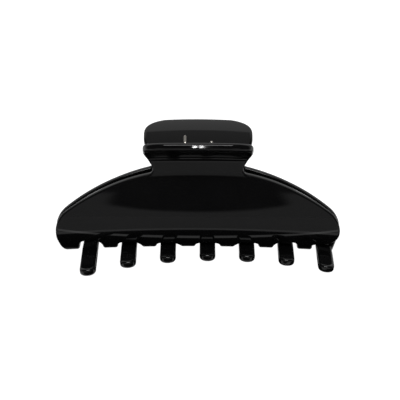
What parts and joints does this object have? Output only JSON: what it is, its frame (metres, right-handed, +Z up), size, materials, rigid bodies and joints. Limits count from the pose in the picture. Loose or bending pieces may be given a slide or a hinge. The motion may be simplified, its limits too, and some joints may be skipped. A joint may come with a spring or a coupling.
{
  "type": "claw clip",
  "caption": "Large glossy black claw hair clip: two curved toothed jaws with squeeze handles, hinged on a sprung steel pin.",
  "frame": {"origin": "centre of the footprint, at the lowest points of the teeth, with the clip closed", "axes": "+X along the clip and its hinge pin, +Y from the front jaw to the back jaw, +Z up towards the handles"},
  "size_m": [0.104, 0.051, 0.0479],
  "materials": {
    "acetate": "polished gloss black",
    "steel": "polished nickel plate",
    "dark_steel": "black nickel plate",
    "spring_steel": "bright wire"
  },
  "bodies": {
    "front": {"front_jaw": "acetate", "front_lug_left": "dark_steel", "front_lug_right": "dark_steel", "hinge_pin": "steel", "torsion_spring": "spring_steel"},
    "back": {"back_jaw": "acetate", "back_lug_left": "dark_steel", "back_lug_right": "dark_steel"}
  },
  "joints": [
    {"name": "jaw_hinge", "type": "hinge", "parent": "front", "child": "back", "pos_m": [0, 0, 0.03566], "axis": [1, 0, 0], "range_deg": [0, 60], "stiffness_Nm_per_rad": 0.076, "springref_deg": -60.16, "deforming": ["torsion_spring"]}
  ]
}
